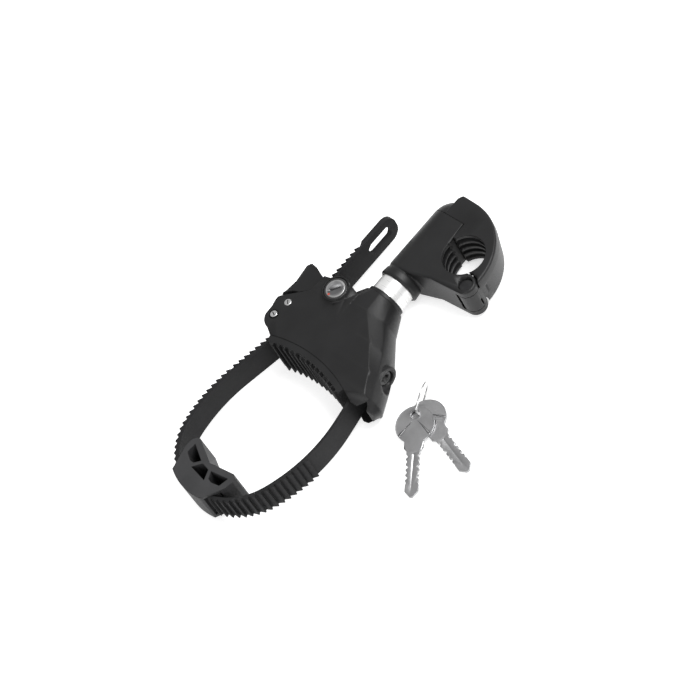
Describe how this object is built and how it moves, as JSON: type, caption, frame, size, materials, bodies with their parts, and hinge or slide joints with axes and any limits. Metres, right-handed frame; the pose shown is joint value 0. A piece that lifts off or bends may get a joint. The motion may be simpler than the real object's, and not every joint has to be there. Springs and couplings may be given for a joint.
{
  "type": "wheel clamp",
  "caption": "lockable bicycle holder arm: hinged tube clamp, steel-sleeved swivel head, toothed ratchet strap with pull, finned rubber pad, frame protector and keys",
  "frame": {"origin": "centre of the tube clamp's bore, at mid depth", "axes": "+Z along the bore, +X along the arm from the clamp to the strap loop, +Y to the side of the strap's fixed end and the keys"},
  "size_m": [0.2555, 0.1786, 0.0351],
  "materials": {
    "shell_black": "satin moulded",
    "strap_black": "matte",
    "rubber_black": "matte",
    "guard_rubber": "matte",
    "steel_satin": "satin",
    "steel_plated": "zinc plated",
    "lock_metal": "satin",
    "key_metal": "satin"
  },
  "bodies": {
    "clamp": {"main_jaw": "shell_black", "hinge_pin": "steel_plated", "arm_sleeve": "steel_satin", "thrust_washer": "shell_black", "retaining_ring": "steel_plated"},
    "swing_jaw": {"swing_jaw": "shell_black", "barrel_nut": "steel_plated"},
    "tie_bolt": {"tie_bolt": "steel_plated"},
    "head": {"head_shell": "shell_black", "back_cover": "shell_black", "cover_screw_1": "steel_plated", "cover_screw_2": "steel_plated", "cover_screw_3": "steel_plated", "cover_screw_4": "steel_plated", "lock_body": "lock_metal", "anchor_screw": "steel_plated", "anchor_nut": "steel_plated", "frame_pad": "rubber_black", "strap": "strap_black", "lever_pin": "steel_plated", "holding_pawl_pin": "steel_plated"},
    "lock_plug": {"lock_plug": "lock_metal", "lock_cam": "steel_plated"},
    "lever": {"ratchet_lever": "shell_black", "drive_pawl_pin": "steel_plated"},
    "drive_pawl": {"drive_pawl": "steel_plated"},
    "holding_pawl": {"holding_pawl": "steel_plated"},
    "protector": {"frame_protector": "guard_rubber"},
    "keys": {"key_rear": "key_metal", "key_front": "key_metal", "key_ring": "key_metal"}
  },
  "joints": [
    {"name": "jaw_hinge", "type": "hinge", "parent": "clamp", "child": "swing_jaw", "pos_m": [0.0156, 0.0151, 0], "axis": [0, 0, -1], "range_deg": [0, 65]},
    {"name": "bolt_drive", "type": "slide", "parent": "clamp", "child": "tie_bolt", "axis": [-1, 0, 0], "range_m": [0, 0.012]},
    {"name": "head_swivel", "type": "hinge", "parent": "clamp", "child": "head", "pos_m": [0.05, -0.032, 0], "axis": [1, 0, 0], "range_deg": [-90, 90]},
    {"name": "lock_turn", "type": "hinge", "parent": "head", "child": "lock_plug", "pos_m": [0.0636, -0.0541, 0], "axis": [0, 0, 1], "range_deg": [0, 90]},
    {"name": "lever_pivot", "type": "hinge", "parent": "head", "child": "lever", "pos_m": [0.0868, -0.0774, 0], "axis": [0, 0, 1], "range_deg": [0, 28], "stiffness_Nm_per_rad": 0.05, "springref_deg": -28.65},
    {"name": "drive_pawl_pivot", "type": "hinge", "parent": "lever", "child": "drive_pawl", "pos_m": [0.0796, -0.0794, 0], "axis": [0, 0, 1], "range_deg": [-12, 0], "stiffness_Nm_per_rad": 0.01, "springref_deg": 17.19},
    {"name": "holding_pawl_pivot", "type": "hinge", "parent": "head", "child": "holding_pawl", "pos_m": [0.0981, -0.0798, 0], "axis": [0, 0, 1], "range_deg": [0, 15], "stiffness_Nm_per_rad": 0.01, "springref_deg": -17.19},
    {"name": "protector_slide", "type": "hinge", "parent": "head", "child": "protector", "pos_m": [0.1753, -0.0393, 0], "axis": [0, 0, 1], "range_deg": [-12, 12]},
    {"name": "keys_lift", "type": "slide", "parent": "clamp", "child": "keys", "axis": [0, 0, 1], "range_m": [0, 0.05]}
  ]
}
